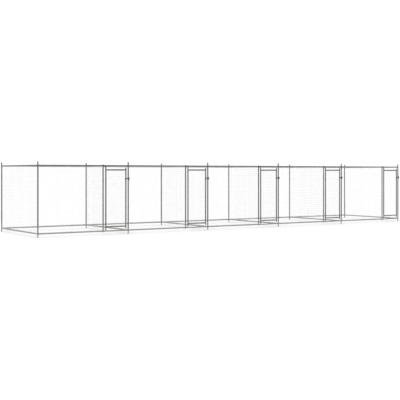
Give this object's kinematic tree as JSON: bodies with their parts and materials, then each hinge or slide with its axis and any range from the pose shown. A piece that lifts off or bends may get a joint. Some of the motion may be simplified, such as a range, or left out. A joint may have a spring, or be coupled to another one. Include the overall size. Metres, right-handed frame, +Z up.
{
  "type": "kennel cage",
  "caption": "Row of joined outdoor kennels in galvanised round tube and welded wire mesh, open at the top, each with a narrow gate and a drop-bar latch.",
  "frame": {"origin": "on the ground, at the middle of the rectangle that the posts' centres make", "axes": "+X along the row of kennels, +Y from the gates to the back, +Z up; the gates hang at -Y and open towards -Y"},
  "size_m": [10.0436, 2.065, 1.49],
  "materials": {
    "galvanised_tube": "hot-dip galvanised, grey, faint spangle",
    "galvanised_mesh": "bright galvanised wire",
    "tie_wire": "galvanised soft wire",
    "zinc_plated_fittings": "zinc plated, satin",
    "foot_plastic": "moulded plastic, matte"
  },
  "bodies": {
    "frame": {"front_posts": "galvanised_tube", "back_posts": "galvanised_tube", "front_rails": "galvanised_tube", "back_rails": "galvanised_tube", "side_rails": "galvanised_tube", "gate_post_1": "galvanised_tube", "gate_post_2": "galvanised_tube", "gate_post_3": "galvanised_tube", "gate_post_4": "galvanised_tube", "gate_post_5": "galvanised_tube", "front_mesh_1": "galvanised_mesh", "front_mesh_2": "galvanised_mesh", "front_mesh_3": "galvanised_mesh", "front_mesh_4": "galvanised_mesh", "front_mesh_5": "galvanised_mesh", "back_mesh_1": "galvanised_mesh", "back_mesh_2": "galvanised_mesh", "back_mesh_3": "galvanised_mesh", "back_mesh_4": "galvanised_mesh", "back_mesh_5": "galvanised_mesh", "side_mesh_1": "galvanised_mesh", "side_mesh_2": "galvanised_mesh", "side_mesh_3": "galvanised_mesh", "side_mesh_4": "galvanised_mesh", "side_mesh_5": "galvanised_mesh", "side_mesh_6": "galvanised_mesh", "front_mesh_rings": "tie_wire", "back_mesh_rings": "tie_wire", "side_mesh_rings": "tie_wire", "tube_caps": "zinc_plated_fittings", "rail_spigots": "zinc_plated_fittings", "rail_screws": "zinc_plated_fittings", "hinge_pintles": "zinc_plated_fittings", "latch_keepers": "zinc_plated_fittings", "post_feet": "foot_plastic"},
    "gate_1": {"gate_frame_1": "galvanised_tube", "gate_mesh_1": "galvanised_mesh", "gate_mesh_rings_1": "tie_wire", "gate_hinge_eyes_1": "zinc_plated_fittings"},
    "latch_1": {"latch_bar_1": "zinc_plated_fittings"},
    "gate_2": {"gate_frame_2": "galvanised_tube", "gate_mesh_2": "galvanised_mesh", "gate_mesh_rings_2": "tie_wire", "gate_hinge_eyes_2": "zinc_plated_fittings"},
    "latch_2": {"latch_bar_2": "zinc_plated_fittings"},
    "gate_3": {"gate_frame_3": "galvanised_tube", "gate_mesh_3": "galvanised_mesh", "gate_mesh_rings_3": "tie_wire", "gate_hinge_eyes_3": "zinc_plated_fittings"},
    "latch_3": {"latch_bar_3": "zinc_plated_fittings"},
    "gate_4": {"gate_frame_4": "galvanised_tube", "gate_mesh_4": "galvanised_mesh", "gate_mesh_rings_4": "tie_wire", "gate_hinge_eyes_4": "zinc_plated_fittings"},
    "latch_4": {"latch_bar_4": "zinc_plated_fittings"},
    "gate_5": {"gate_frame_5": "galvanised_tube", "gate_mesh_5": "galvanised_mesh", "gate_mesh_rings_5": "tie_wire", "gate_hinge_eyes_5": "zinc_plated_fittings"},
    "latch_5": {"latch_bar_5": "zinc_plated_fittings"}
  },
  "joints": [
    {"name": "gate_swing_1", "type": "hinge", "parent": "frame", "child": "gate_1", "pos_m": [-3.521, -1, 0.3], "axis": [0, 0, -1], "range_deg": [0, 110]},
    {"name": "latch_lift_1", "type": "hinge", "parent": "gate_1", "child": "latch_1", "pos_m": [-3.055, -1.0258, 1.14], "axis": [0, -1, 0], "range_deg": [-21, 69]},
    {"name": "gate_swing_2", "type": "hinge", "parent": "frame", "child": "gate_2", "pos_m": [-1.521, -1, 0.3], "axis": [0, 0, -1], "range_deg": [0, 110]},
    {"name": "latch_lift_2", "type": "hinge", "parent": "gate_2", "child": "latch_2", "pos_m": [-1.055, -1.0258, 1.14], "axis": [0, -1, 0], "range_deg": [-21, 69]},
    {"name": "gate_swing_3", "type": "hinge", "parent": "frame", "child": "gate_3", "pos_m": [0.479, -1, 0.3], "axis": [0, 0, -1], "range_deg": [0, 110]},
    {"name": "latch_lift_3", "type": "hinge", "parent": "gate_3", "child": "latch_3", "pos_m": [0.945, -1.0258, 1.14], "axis": [0, -1, 0], "range_deg": [-21, 69]},
    {"name": "gate_swing_4", "type": "hinge", "parent": "frame", "child": "gate_4", "pos_m": [2.479, -1, 0.3], "axis": [0, 0, -1], "range_deg": [0, 110]},
    {"name": "latch_lift_4", "type": "hinge", "parent": "gate_4", "child": "latch_4", "pos_m": [2.945, -1.0258, 1.14], "axis": [0, -1, 0], "range_deg": [-21, 69]},
    {"name": "gate_swing_5", "type": "hinge", "parent": "frame", "child": "gate_5", "pos_m": [4.479, -1, 0.3], "axis": [0, 0, -1], "range_deg": [0, 110]},
    {"name": "latch_lift_5", "type": "hinge", "parent": "gate_5", "child": "latch_5", "pos_m": [4.945, -1.0258, 1.14], "axis": [0, -1, 0], "range_deg": [-21, 69]}
  ]
}
